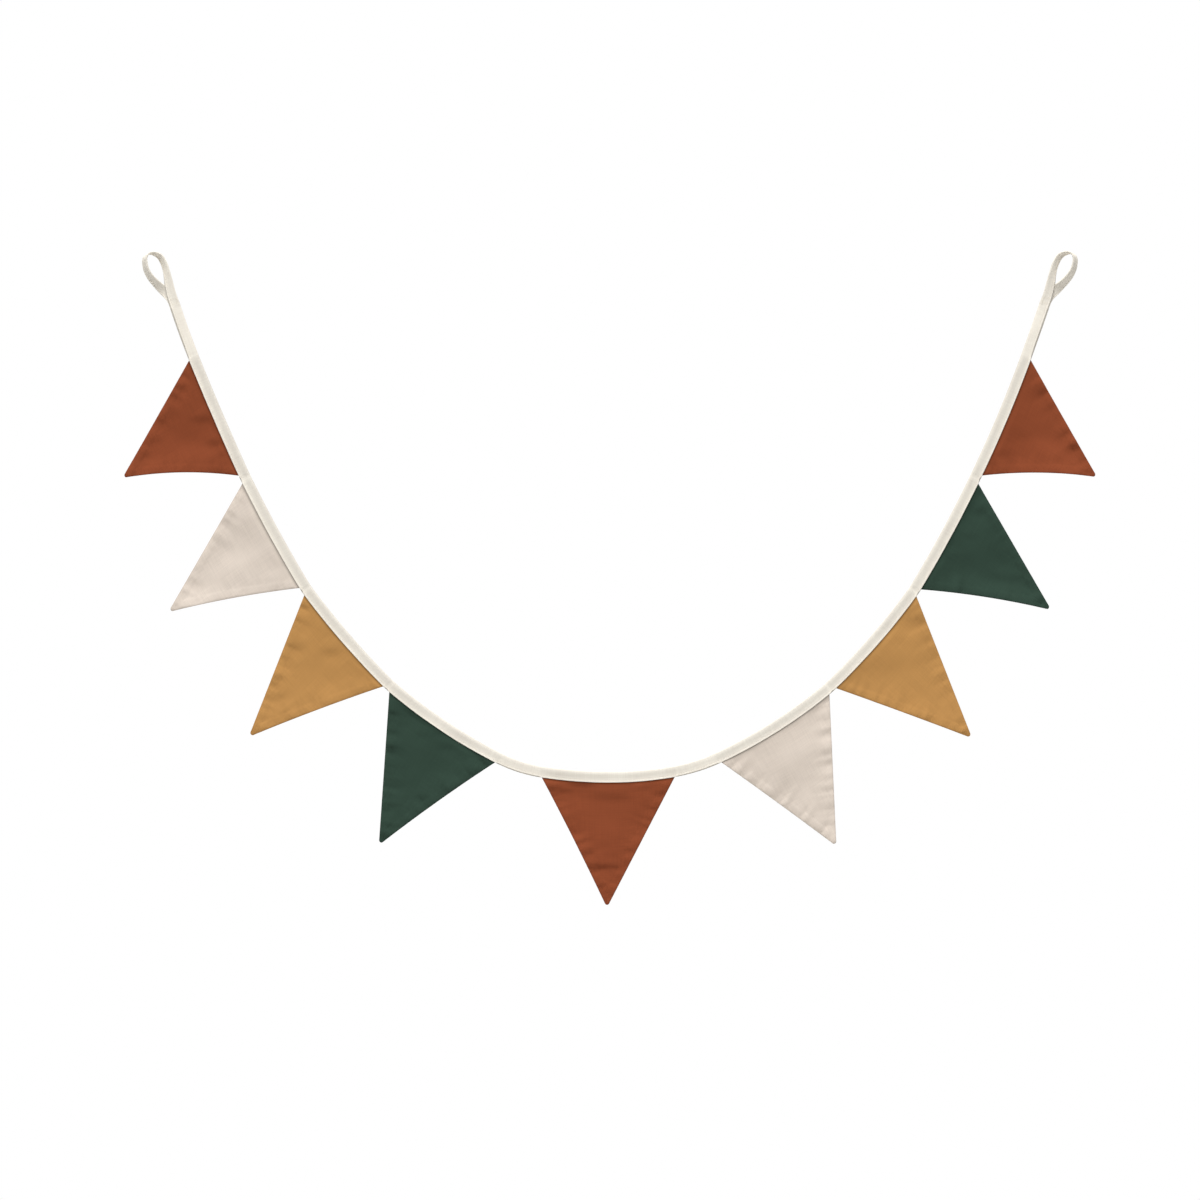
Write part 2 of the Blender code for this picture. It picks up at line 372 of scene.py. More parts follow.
def tape_frame(distance):
    """The centre line's point there, the direction across the tape towards the pennants, and the
    direction of its face, with the tape's own soft waves, which die out at its ends."""
    at = tape_station(distance)
    side = -1 if distance < 0 else 1
    steady = smooth_steps((half_length(side) - abs(distance)) / STEADY_END)
    drifting = soft_noise(distance / DRIFT_WAVE, HALF_WAY, DRIFT_SEED + HALF_WAY)
    tilting = soft_noise(distance / TILT_WAVE, HALF_WAY, TILT_SEED + HALF_WAY)
    drift = DRIFT_DEPTH * float(drifting * steady)
    tilt = TILT * float(tilting * steady)
    outward = np.array((sin(at.slope), 0, -cos(at.slope)))
    centre = SWAG_ORIGIN + (at.x, 0, at.z) + FORWARD * drift
    across = outward * cos(tilt) + FORWARD * sin(tilt)
    return centre, across, FORWARD * cos(tilt) - outward * sin(tilt)


def stretch_ends(side, name):
    start = 0
    for stretch in half_of(side):
        if stretch.name == name:
            return start, start + stretch.length
        start += stretch.length
    raise ValueError(name)


def pennant_span(pennant):
    """The two distances along the tape between which a pennant is sewn, uphill end first."""
    near, far = stretch_ends(pennant.side, pennant.stretch)
    if pennant.stretch == "middle":
        near = -stretch_ends(-pennant.side, pennant.stretch)[1]
    return pennant.side * far, pennant.side * near


def smooth_between(points, index, share):
    """A Catmull-Rom curve through points, each a tuple of numbers."""
    last = len(points) - 1
    before, start = points[max(index - 1, 0)], points[index]
    end, after = points[min(index + 1, last)], points[min(index + 2, last)]
    mixed = []
    for a, b, c, d in zip(before, start, end, after):
        bend = 2 * a - 5 * b + 4 * c - d
        twist = 3 * b - a - 3 * c + d
        mixed.append(b + 0.5 * share * (c - a + share * (bend + share * twist)))
    return mixed


def loop_frames(side):
    """Down one loop from the tape's end: centre, direction across and direction of the face."""
    at = tape_station(side * half_length(side))
    along = Vector((side * cos(at.slope), 0, side * sin(at.slope)))
    aside = Vector((side * along.z, 0, -side * along.x))
    root = Vector(SWAG_ORIGIN) + Vector((at.x, 0, at.z))
    rows = [(row.along * MM, row.aside * MM, row.behind * MM, radians(row.roll)) for row in LOOP]
    stations = []
    for index in range(len(rows) - 1):
        for step in range(LOOP_STEPS):
            stations.append(smooth_between(rows, index, step / LOOP_STEPS))
    stations.append(rows[-1])
    frames = []
    for index, (up, out, back, roll) in enumerate(stations):
        ahead = stations[min(index + 1, len(stations) - 1)]
        behind = stations[max(index - 1, 0)]
        heading = atan2(ahead[1] - behind[1], ahead[0] - behind[0])
        tangent = along * cos(heading) + aside * sin(heading)
        inward = aside * cos(heading) - along * sin(heading)
        face = Vector((0, -cos(roll), 0)) + inward * sin(roll)
        centre = root + along * up + aside * out + Vector((0, back, 0))
        across = -side * face.cross(tangent)
        frames.append((np.array(centre), np.array(across), np.array(face)))
    return frames


# ---- Settings ----


def length(name, description, millimetres):
    return FloatProperty(
        name=name,
        description=description,
        default=millimetres * MM,
        unit="LENGTH",
        precision=5,
    )


def linear(code):
    """The linear colour of an sRGB hex code such as "85452B"."""
    channels = [int(code[start:start + 2], 16) / 255 for start in (0, 2, 4)]
    return [c / 12.92 if c <= 0.04045 else ((c + 0.055) / 1.055) ** 2.4 for c in channels]


def colour(name, description, code):
    return FloatVectorProperty(
        name=name,
        description=description,
        subtype="COLOR",
        size=3,
        min=0.0,
        max=1.0,
        default=linear(code),
    )


def strength(name, description, value):
    return FloatProperty(name=name, description=description, default=value)


class TapeSettings(bpy.types.PropertyGroup):
    cloth: length("Cloth", "Thickness of the tape's cloth", 0.42)
    hem: length("Hem", "Depth of the edges that are turned in along the tape", 5.3)
    lip: length("Lip", "How far the back edge shows below the front edge, at least", 0.2)
    puff: length("Puff", "How far the fold puffs out where a pennant is sewn in", 0.45)
    step: length("Step", "Distance between the tape's cross-sections", 2.5)
    stitch: length("Stitch", "Length of a stitch", 2.3)
    pitch: length("Pitch", "Distance from one stitch to the next", 3.0)
    inset: length("Inset", "Distance of the stitches from the tape's edge", 2.4)
    thread: length("Thread", "Thickness of the sewing thread", 0.42)


class PennantSettings(bpy.types.PropertyGroup):
    edge: length("Edge", "Thickness of a pennant at its rolled seams", 1.9)
    roll: length("Roll", "Width over which a rolled seam curves down to its edge", 3.2)
    middle: length("Middle", "Thickness of the two cloths in the middle", 0.9)
    allowance: length("Allowance", "Width of the seam allowance pressed inside", 7.5)
    pucker: length("Pucker", "Depth of the puckers along the seams", 2.8)
    spacing: length("Spacing", "Distance between puckers", 10.0)
    wave: length("Wave", "Depth of the soft waves in the slack cloth", 3.2)
    wave_width: length("Wave width", "Distance over which the waves rise and fall", 40.0)
    row_step: length("Row step", "Distance between the rows of a pennant's mesh", 1.6)


class CottonColours(bpy.types.PropertyGroup):
    rust: colour("Rust", "Dyed cotton, rust brown", "85452B")
    sand: colour("Sand", "Dyed cotton, pale sand", "D4C8BC")
    mustard: colour("Mustard", "Dyed cotton, mustard", "B4864F")
    green: colour("Green", "Dyed cotton, dark green", "314339")
    tape: colour("Tape", "Undyed cotton tape, cream", "F5EADE")
    thread: colour("Thread", "Sewing thread, cream", "F0E8D8")
    weave: length("Weave", "Distance from one thread of the pennants' cloth to the next", 0.8)
    tape_weave: length("Tape weave", "Distance from one thread of the tape to the next", 0.6)


class StudioSettings(bpy.types.PropertyGroup):
    view_width: length("View width", "Width of the view at the swag", 1385.5)
    lens: FloatProperty(
        name="Lens",
        description="Focal length, long so that the view is nearly flat",
        default=500.0,
        max=5000.0,
        unit="CAMERA",
    )
    view_right: length("View right", "How far the view's middle is right of the swag's", -11.38)
    view_up: length("View up", "How far the view's middle is above the swag's", -25.72)
    floor_drop: length("Floor drop", "How far the floor is below the hooks", 3000.0)
    floor_radius: length("Floor radius", "Radius of the round floor", 2500.0)
    above: strength("Above", "Strength of the light from all round, above", 0.55)
    below: strength("Below", "Strength of the light from all round, below", 0.05)
    key: strength("Key", "Strength of the main lamp, above and in front", 2.75)
    side: strength("Side", "Strength of each lamp that lights the loops' sides", 0.75)
    rear: strength("Rear", "Strength of the lamp above and behind the swag", 1.5)


# ---- Meshes ----

# Along a stitch: how thick the thread is, and how far it stands out of the cloth, in thicknesses.
THREAD_TAPER = (0.45, 0.9, 1.0, 0.9, 0.45)
THREAD_BOW = (-0.35, 0.15, 0.3, 0.15, -0.35)
THREAD_SIDES = 6


def link_piece(name, mesh, material):
    mesh.materials.append(material)
    mesh.shade_smooth()
    piece = bpy.data.objects.new(name, mesh)
    bpy.context.scene.collection.objects.link(piece)
    return piece


def lay_out(mesh, places):
    """Gives each point its place on the flat cloth, in metres, for the weave to follow."""
    corner_points = np.empty(len(mesh.loops), np.int32)
    mesh.loops.foreach_get("vertex_index", corner_points)
    cloth = mesh.uv_layers.new(name=CLOTH_MAP)
    cloth.data.foreach_set("uv", places[corner_points].astype(np.float32).ravel())


def two_skins(name, outer, inner, flat, painted_shades, material):
    """A closed cloth piece from two grids of points that share their first and last columns.

    flat holds each point's place on the flat cloth, and painted_shades how much painted shade
    darkens its colour on the outer and on the inner skin."""
    rows, columns = flat.shape[:2]
    inside = slice(1, columns - 1)
    outer_index = np.arange(rows * columns).reshape(rows, columns)
    inner_index = outer_index.copy()
    inner_index[:, inside] = rows * columns + np.arange(rows * (columns - 2)).reshape(rows, -1)

    def quads(index):
        corners = (index[:-1, :-1], index[:-1, 1:], index[1:, 1:], index[1:, :-1])
        return np.stack(corners, axis=-1).reshape(-1, 4)

    def cap(row):
        corners = (outer_index[row, :-1], outer_index[row, 1:], inner_index[row, 1:],
                   inner_index[row, :-1])
        return np.stack(corners, axis=-1)

    faces = [quads(outer_index), quads(inner_index)[:, ::-1], cap(0)[:, ::-1], cap(-1)]
    faces = [list(dict.fromkeys(face)) for face in np.concatenate(faces).tolist()]

    def joined(on_outer, on_inner, size):
        return np.concatenate((on_outer.reshape(-1, size), on_inner[:, inside].reshape(-1, size)))

    mesh = bpy.data.meshes.new(name)
    mesh.from_pydata(joined(outer, inner, 3).tolist(), [], faces)
    lay_out(mesh, joined(flat, flat, 2))
    # How much painted shade darkens each point's colour.
    depth = mesh.attributes.new(PAINTED_SHADE_ATTRIBUTE, "FLOAT", "POINT")
    depth.data.foreach_set("value", joined(*painted_shades, 1).astype(np.float32).ravel())
    return link_piece(name, mesh, material)


def thread_stitches(name, runs, faces, thickness, material):
    """Short bowed tubes, one for each of runs, an array of stitches by points by 3."""
    count, steps = runs.shape[:2]
    ahead = np.gradient(runs, axis=1)
    ahead /= np.linalg.norm(ahead, axis=2, keepdims=True)
    side = np.cross(ahead, faces[:, None, :])
    side /= np.linalg.norm(side, axis=2, keepdims=True)
    out = np.cross(side, ahead)
    girth = thickness / 2 * np.array(THREAD_TAPER)[:, None]
    turns = [2 * pi * corner / THREAD_SIDES for corner in range(THREAD_SIDES)]
    rings = [runs + girth * (out * cos(turn) + side * sin(turn)) for turn in turns]
    points = np.stack(rings, axis=2)
    index = np.arange(count * steps * THREAD_SIDES).reshape(count, steps, THREAD_SIDES)
    turned = np.roll(index, -1, axis=2)
    walls = np.stack((index[:, :-1], index[:, 1:], turned[:, 1:], turned[:, :-1]), axis=-1)
    ends = index[:, 0].tolist() + index[:, -1, ::-1].tolist()
    mesh = bpy.data.meshes.new(name)
    mesh.from_pydata(points.reshape(-1, 3).tolist(), [], walls.reshape(-1, 4).tolist() + ends)
    travel = np.linalg.norm(runs - runs[:, :1], axis=2)
    travel = np.broadcast_to(travel[:, :, None], points.shape[:3])
    round_thread = np.broadcast_to(np.array(turns) * thickness / 2, points.shape[:3])
    lay_out(mesh, np.stack((travel, round_thread), axis=-1).reshape(-1, 2))
    return link_piece(name, mesh, material)


# ---- Materials ----

# The colour mixing node's sockets.
MIX_A = 6
MIX_B = 7
MIX_RESULT = 2

POPLIN = "cotton poplin, woven, "

# A slub's width and length, in threads.
SLUB_WIDTH = 1.25
SLUB_LENGTH = 50
BLOTCH_SIZE = 30 * MM

# How far cloth varies to darker and lighter, its deepest painted shade, and how much its threads
# show.
DYE_SPREAD = 0.16
DEEPEST_PAINTED_SHADE = 0.12
THREAD_SHARE = 0.6

# Thread: how far its twist runs in one turn, and its colour painted darker between the strands, as
# painted shade, and lighter on them, as painted light.
THREAD_TWIST = 2.1 * MM
PAINTED_SHADE_BETWEEN_STRANDS = 0.8
PAINTED_LIGHT_ON_STRANDS = 1.05

MOTTLE_SIZE = 667 * MM
PAINT_SPREAD = 0.03


def add(tree, kind, inputs=None, **settings):
    """Adds a node. An input that is given a socket is linked to it, and any other is set."""
    node = tree.nodes.new(kind)
    for name, value in settings.items():
        setattr(node, name, value)
    for name, value in (inputs or {}).items():
        if isinstance(value, bpy.types.NodeSocket):
            tree.links.new(value, node.inputs[name])
        else:
            node.inputs[name].default_value = value
    return node


def new_material(name, shader_inputs):
    material = bpy.data.materials.new(name)
    material.use_nodes = True
    tree = material.node_tree
    tree.nodes.clear()
    shader = add(tree, "ShaderNodeBsdfPrincipled", shader_inputs)
    add(tree, "ShaderNodeOutputMaterial", {"Surface": shader.outputs["BSDF"]})
    return material, tree, shader


def shaded(base, share):
    return (*(min(channel * share, 0.98) for channel in base), 1)


def woven_cotton(name, base, pitch, painted_shade_depth, blotch, relief):
    """Plain-woven cotton is matt, with a soft fuzz that lightens it at a glance. Its threads are
    uneven, so single ones read darker or lighter and stand proud, and dyeing and pressing leave
    faint blotches. Where a piece asks, its colour is also painted darker, as painted shade.

    pitch is the distance between threads, painted_shade_depth how much darker the cloth is painted
    where its painted shade is 1, blotch how much the blotches show, and relief how far the threads
    stand out, in pitches."""
    material, tree, shader = new_material(name, {
        "IOR": 1.5,
        "Specular IOR Level": 0.04,
        "Sheen Weight": 0.02,
        "Sheen Roughness": 0.5,
    })
    place = add(tree, "ShaderNodeUVMap", uv_map=CLOTH_MAP).outputs["UV"]

    # Threads both ways, each a rounded ridge that goes over and under in turn.
    turns = add(tree, "ShaderNodeVectorMath", {0: place, 1: (pi / pitch,) * 3},
                operation="MULTIPLY")
    split = add(tree, "ShaderNodeSeparateXYZ", {0: turns.outputs[0]})
    ridges = [add(tree, "ShaderNodeMath", {0: split.outputs[axis]}, operation="SINE")
              for axis in ("X", "Y")]
    weave = add(tree, "ShaderNodeMath", {0: ridges[0].outputs[0], 1: ridges[1].outputs[0]},
                operation="MULTIPLY")

    # A slub is a stretch of thread that is thicker than the rest.
    slubs = []
    for threads in ((SLUB_WIDTH, SLUB_LENGTH, 1), (SLUB_LENGTH, SLUB_WIDTH, 1)):
        scale = [1 / (pitch * size) for size in threads]
        stretched = add(tree, "ShaderNodeVectorMath", {0: place, 1: scale}, operation="MULTIPLY")
        slubs.append(add(tree, "ShaderNodeTexNoise",
                         {"Vector": stretched.outputs[0], "Scale": 1.0, "Detail": 2.0}))
    threads = add(tree, "ShaderNodeMath",
                  {0: slubs[0].outputs["Fac"], 1: slubs[1].outputs["Fac"]}, operation="ADD")

    blotches = add(tree, "ShaderNodeTexNoise",
                   {"Vector": place, "Scale": 1 / BLOTCH_SIZE, "Detail": 3.0})

    # From 0, dark, to 1, light: the threads and the blotches each give a quarter on average.
    from_threads = add(tree, "ShaderNodeMath",
                       {0: threads.outputs[0], 1: THREAD_SHARE, 2: 0.25 - THREAD_SHARE},
                       operation="MULTIPLY_ADD")
    from_blotches = add(tree, "ShaderNodeMath",
                        {0: blotches.outputs["Fac"], 1: blotch, 2: 0.25 - blotch / 2},
                        operation="MULTIPLY_ADD")
    light = add(tree, "ShaderNodeMath",
                {0: from_threads.outputs[0], 1: from_blotches.outputs[0]},
                operation="ADD", use_clamp=True)
    dye_and_strand_shade = add(tree, "ShaderNodeMix", {
        "Factor": light.outputs[0],
        MIX_A: shaded(base, 1 - DYE_SPREAD),
        MIX_B: shaded(base, 1 + DYE_SPREAD),
    }, data_type="RGBA")

    # Painted shade: where the attribute asks, the colour is painted darker, towards its deepest
    # painted shade.
    tone = add(tree, "ShaderNodeAttribute", attribute_name=PAINTED_SHADE_ATTRIBUTE)
    depth = add(tree, "ShaderNodeMath", {0: tone.outputs["Fac"], 1: painted_shade_depth}, operation="MULTIPLY",
                use_clamp=True)
    with_painted_shade = add(tree, "ShaderNodeMix", {
        "Factor": depth.outputs[0],
        MIX_A: dye_and_strand_shade.outputs[MIX_RESULT],
        MIX_B: shaded(base, DEEPEST_PAINTED_SHADE),
    }, data_type="RGBA")
    tree.links.new(with_painted_shade.outputs[MIX_RESULT], shader.inputs["Base Color"])

    matt = add(tree, "ShaderNodeMapRange",
               {"Value": threads.outputs[0], "From Min": 0.6, "From Max": 1.4,
                "To Min": 0.82, "To Max": 0.95})
    tree.links.new(matt.outputs["Result"], shader.inputs["Roughness"])

    height = add(tree, "ShaderNodeMath", {0: threads.outputs[0], 1: 1.2, 2: weave.outputs[0]},
                 operation="MULTIPLY_ADD")
    bump = add(tree, "ShaderNodeBump",
               {"Strength": 0.35, "Distance": pitch * relief, "Height": height.outputs[0]})
    tree.links.new(bump.outputs["Normal"], shader.inputs["Normal"])
    return material


def cotton_poplin(cloth):
    """The pennants' dyed cloth. Real poplin has a thread every 0.35 mm or so, which is too fine to
    show, so its threads are drawn about twice as coarse."""
    colours = bpy.context.scene.cotton_colours
    return woven_cotton(POPLIN + cloth, getattr(colours, cloth), colours.weave, painted_shade_depth=0.3,
                        blotch=0.5, relief=0.12)


def cotton_tape():
    """The undyed tape. Its threads are drawn twice as coarse as the real 0.3 mm, to show. Above
    the turned-in hem its colour is painted darker, partly for the single cloth there and partly as
    painted shade."""
    colours = bpy.context.scene.cotton_colours
    return woven_cotton("cotton binding tape, woven", colours.tape, colours.tape_weave,
                        painted_shade_depth=0.19, blotch=0.3, relief=0.03)


def cotton_thread():
    """Spun thread is matt, and its twist shows as slanting strands, its colour painted darker
    between them as painted shade and lighter on them as painted light.
    """
    material, tree, shader = new_material("cotton thread, spun", {
        "IOR": 1.5,
        "Specular IOR Level": 0.3,
        "Sheen Weight": 0.1,
        "Sheen Roughness": 0.5,
    })
    base = bpy.context.scene.cotton_colours.thread
    place = add(tree, "ShaderNodeUVMap", uv_map=CLOTH_MAP).outputs["UV"]
    # This node's diagonal bands turn once in 2 pi / 10 of its own units.
    twist = add(tree, "ShaderNodeTexWave",
                {"Vector": place, "Scale": 2 * pi / 10 / THREAD_TWIST, "Distortion": 1.0},
                wave_type="BANDS", bands_direction="DIAGONAL")
    # Painted shade between the strands and painted light on them.
    dye_and_strand_shade = add(tree, "ShaderNodeMix", {
        "Factor": twist.outputs["Fac"],
        MIX_A: shaded(base, PAINTED_SHADE_BETWEEN_STRANDS),
        MIX_B: shaded(base, PAINTED_LIGHT_ON_STRANDS),
    }, data_type="RGBA")
    tree.links.new(dye_and_strand_shade.outputs[MIX_RESULT], shader.inputs["Base Color"])
    matt = add(tree, "ShaderNodeMapRange",
               {"Value": twist.outputs["Fac"], "To Min": 0.7, "To Max": 0.85})
    tree.links.new(matt.outputs["Result"], shader.inputs["Roughness"])
    bump = add(tree, "ShaderNodeBump",
               {"Strength": 0.4, "Distance": 0.05 * MM, "Height": twist.outputs["Fac"]})
    tree.links.new(bump.outputs["Normal"], shader.inputs["Normal"])
    return material


def matt_paint():
    """The studio floor: pale matt paint, rolled on, with a faint mottle."""
    material, tree, shader = new_material("matt paint, rolled", {"Specular IOR Level": 0.2})
    base = linear("F4F2EE")
    place = add(tree, "ShaderNodeTexCoord").outputs["Object"]
    mottle = add(tree, "ShaderNodeTexNoise",
                 {"Vector": place, "Scale": 1 / MOTTLE_SIZE, "Detail": 4.0})
    painted = add(tree, "ShaderNodeMix", {
        "Factor": mottle.outputs["Fac"],
        MIX_A: shaded(base, 1 - PAINT_SPREAD),
        MIX_B: shaded(base, 1 + PAINT_SPREAD),
    }, data_type="RGBA")
    tree.links.new(painted.outputs[MIX_RESULT], shader.inputs["Base Color"])
    matt = add(tree, "ShaderNodeMapRange",
               {"Value": mottle.outputs["Fac"], "To Min": 0.85, "To Max": 0.95})
    tree.links.new(matt.outputs["Result"], shader.inputs["Roughness"])
    return material


# ---- The folded tape ----

# Heights above the tape's lower edge at which its face is drawn, closest at the stitches and
# where the hem ends, and the turns of its rolled lower edge and of its top fold.
FACE_HEIGHTS = np.array((1.4, 2.0, 2.4, 2.8, 3.6, 4.5, 5.1, 5.7, 6.5, 7.4, 8.3, 9.1)) * MM
ROLL_TURNS = np.radians((0, 45, 90, 135, 180))
FOLD_TURNS = np.radians((22, 45, 67, 90))
FOLD_STRETCH = 1.55
GROOVE_DEPTH = 0.18 * MM
GROOVE_WIDTH = 0.5 * MM
HEM_STEP = 0.9 * MM
PUFF_END = 9.0 * MM

# Half the space inside the tape, over a pennant and where it is bare, and the ramp between them.
OPEN_GAP = 0.62 * MM
SHUT_GAP = 0.2 * MM
OPEN_MARGIN = 0.3 * MM
PINCH_RAMP = 4.5 * MM
END_RAMP = 20 * MM
BARE_STEP = 1.4 * MM

# How many times more the lip shows at a gap and in a bare end, and what the fold's puff loses.
LIP_AT_GAP = 4
LIP_AT_END = 3
FLATTER_AT_GAP = 0.4
FLATTER_AT_END = 0.8

# The tape's colour is painted deeper from its edge up to above the hem, and eases towards the
# fold: partly the single cloth reading darker, partly painted shade.
PAINTED_SHADE_FROM = 0.5 * MM
PAINTED_SHADE_OVER = 6.5 * MM
EASES_FROM = 8.5 * MM
EASES_OVER = 4.5 * MM
EASES_BY = 0.3
# Painted shade on the tape's inner skin, inside its fold.
INNER_PAINTED_SHADE = 2.0
# Painted shade on the back half's lip below the front's edge, over its first columns.
LIP_PAINTED_SHADE = 2.0
LIP_COLUMNS = 3

# Along the tape: half its inner gap, how far the back edge shows, and the puff of its fold.
Spine = namedtuple("Spine", "centre across face travel gap lip puff")


def bare_share(distance):
    """0 where a pennant is inside the tape, 1 where none is, with a short ramp between them."""
    spans = [pennant_span(pennant) for pennant in PENNANTS]
    nearest = min(max(min(span) - distance, distance - max(span)) for span in spans)
    return smooth_steps((nearest - OPEN_MARGIN) / PINCH_RAMP)


def half_distances(side, step):
    """Distances of the cross-sections along one half, closest in the gaps, where it pinches."""
    marks = [0.0]
    for stretch in half_of(side):
        bare = stretch.name.endswith(("gap", "bare_end"))
        count = round(stretch.length / (BARE_STEP if bare else step))
        marks += [marks[-1] + stretch.length * (n + 1) / count for n in range(count)]
    return [side * mark for mark in marks]


def tape_shape(bare, end, settings):
    """Half the inner gap, the lip and the puff, from how bare the tape is there, and how far that
    place is into a bare end, both from 0 to 1."""
    gap = OPEN_GAP + (SHUT_GAP - OPEN_GAP) * bare
    lip = settings.lip * (1 + LIP_AT_GAP * bare + LIP_AT_END * end)
    puff = settings.puff * (1 - FLATTER_AT_GAP * bare) * (1 - FLATTER_AT_END * end)
    return gap, lip, puff


def tape_spine(settings):
    """The whole tape as one run: from the left loop's tail, along the swag, to the right one's."""
    loop_shape = tape_shape(1.0, 1.0, settings)
    rows = [(*frame, *loop_shape) for frame in loop_frames(-1)[::-1]]
    for distance in half_distances(-1, settings.step)[:0:-1] + half_distances(1, settings.step):
        side = -1 if distance < 0 else 1
        beyond = abs(distance) - stretch_ends(side, "bare_end")[0]
        shape = tape_shape(bare_share(distance), smooth_steps(beyond / END_RAMP), settings)
        rows.append((*tape_frame(distance), *shape))
    rows += [(*frame, *loop_shape) for frame in loop_frames(1)]
    centre, across, face, *shape = (np.array(column) for column in zip(*rows))
    steps = np.linalg.norm(np.diff(centre, axis=0), axis=1)
    travel = np.concatenate(((0,), np.cumsum(steps)))
    return Spine(centre, across, face, travel, *shape)


def face_out(height, gap, puff, settings):
    """How far the tape's face stands out from its middle, at a height above its lower edge. It is
    flat at the stitches and puffs out above them, towards the fold."""
    groove = GROOVE_DEPTH * np.exp(-(((height - settings.inset) / GROOVE_WIDTH) ** 2))
    rise = smooth_steps((height - settings.inset) / (PUFF_END - settings.inset))
    return gap + 2 * settings.cloth + puff * rise - groove


def thickness(height, settings):
    """Two cloths in the turned-in hem and one above it."""
    return settings.cloth * (1.5 - 0.5 * np.tanh((height - settings.hem) / HEM_STEP))


def half_section(gap, puff, settings):
    """The front half's outer and inner skin, as heights above its edge and distances out."""
    cloth = settings.cloth
    gap, puff = gap[:, None], puff[:, None]
    flat = np.ones_like(gap)
    face = face_out(FACE_HEIGHTS, gap, puff, settings)
    top = gap + 2 * cloth + puff
    reach = FOLD_STRETCH * top
    heights = np.hstack((
        flat * cloth * (1 - np.sin(ROLL_TURNS)),
        flat * FACE_HEIGHTS,
        TAPE_WIDTH + reach * (np.sin(FOLD_TURNS) - 1),
    ))
    outs = np.hstack((gap + cloth * (1 - np.cos(ROLL_TURNS)), face, top * np.cos(FOLD_TURNS)))
    low = cloth + (FACE_HEIGHTS[0] - cloth) * np.linspace(0, 1, len(ROLL_TURNS), endpoint=False)
    inner_heights = np.hstack((
        flat * low,
        flat * FACE_HEIGHTS,
        TAPE_WIDTH - cloth + (reach - cloth) * (np.sin(FOLD_TURNS) - 1),
    ))
    inner_outs = np.hstack((
        gap * np.ones_like(low),
        face - thickness(FACE_HEIGHTS, settings),
        (top - cloth) * np.cos(FOLD_TURNS),
    ))
    return heights, outs, inner_heights, inner_outs


def whole_section(heights, outs, lip):
    """Both halves, from the back's lower edge over the fold to the front's: places across the
    tape and forward of its middle. The front half is shorter by the lip."""
    down = TAPE_WIDTH - heights
    front = down * (1 - lip[:, None] / TAPE_WIDTH)
    across = np.hstack((down, front[:, -2::-1])) - TAPE_WIDTH / 2
    forward = np.hstack((-outs, outs[:, -2::-1]))
    return across, forward


def swept(spine, across, forward):
    """The points of a cross-section that is carried along the spine."""
    return (spine.centre[:, None] + spine.across[:, None] * across[..., None]
            + spine.face[:, None] * forward[..., None])


def tape_painted_shade(heights, puff, settings):
    """The tape's colour is painted darker above the hem, partly for the single cloth there and
    partly as painted shade, and the back half's lip is painted dark, as painted shade.
    """
    painted_shade_ramp = smooth_steps((heights - PAINTED_SHADE_FROM) / PAINTED_SHADE_OVER)
    eased = smooth_steps((heights - EASES_FROM) / EASES_OVER)
    painted_shades = painted_shade_ramp * (1 - EASES_BY * eased) * (puff / settings.puff)[:, None]
    back = painted_shades.copy()
    # The lip is painted dark, as painted shade.
    back[:, :LIP_COLUMNS] = LIP_PAINTED_SHADE
    return np.hstack((back, painted_shades[:, -2::-1]))


class BUNTING_OT_tape(bpy.types.Operator):
    """Fold the tape over the pennants' top edges and turn its ends back into two loops"""

    bl_idname = "bunting.tape"
    bl_label = "Folded Tape"

    def execute(self, context):
        settings = context.scene.tape_settings
        spine = tape_spine(settings)
        heights, outs, inner_heights, inner_outs = half_section(spine.gap, spine.puff, settings)
        across, forward = whole_section(heights, outs, spine.lip)
        outer = swept(spine, across, forward)
        inner = swept(spine, *whole_section(inner_heights, inner_outs, spine.lip))
        travel = np.broadcast_to(spine.travel[:, None], across.shape)
        cut = np.hstack((heights, 2 * TAPE_WIDTH - heights[:, -2::-1]))
        # The inner skin is painted dark all over, as painted shade.
        painted_shades = tape_painted_shade(heights, spine.puff, settings), np.full(across.shape, INNER_PAINTED_SHADE)
        piece = two_skins(TAPE_PIECE, outer, inner, np.stack((travel, cut), axis=-1), painted_shades,
                          cotton_tape())
        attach(piece, BODY)
        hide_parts("tape", "loop_left", "loop_right")
        return {"FINISHED"}


# ---- The stitches ----

END_MARGIN = 1.5 * MM
STITCH_SPACE = 0.25 * MM
TACK_PLACE = 5.5 * MM
TACK_HALF = 3.0 * MM


def at_travel(spine, values, travel):
    return np.stack([np.interp(travel, spine.travel, values[:, axis]) for axis in range(3)], -1)


def on_face(spine, travel, height, out, settings):
    """Points on the tape's front (out > 0) or back (out < 0), with the direction out of it."""
    lip, gap, puff = (
        np.interp(travel, spine.travel, part) for part in (spine.lip, spine.gap, spine.puff)
    )
    shown = np.where(out > 0, 1 - lip / TAPE_WIDTH, 1)
    across = (TAPE_WIDTH - height) * shown - TAPE_WIDTH / 2
    forward = out * face_out(height, gap, puff, settings)
    face = at_travel(spine, spine.face, travel)
    place = at_travel(spine, spine.centre, travel)
    place += at_travel(spine, spine.across, travel) * across[..., None]
    return place + face * forward[..., None], face * np.sign(out)[..., None]


def seam_line(spine, settings):
    """The long seam, as ends of stitches: travel, height, travel, height and side."""
    starts = np.arange(END_MARGIN, spine.travel[-1] - END_MARGIN, settings.pitch)
    lines = []
    for out in (1, -1):
        for start in starts:
            lines.append((start, settings.inset, start + settings.stitch, settings.inset, out))
    return lines


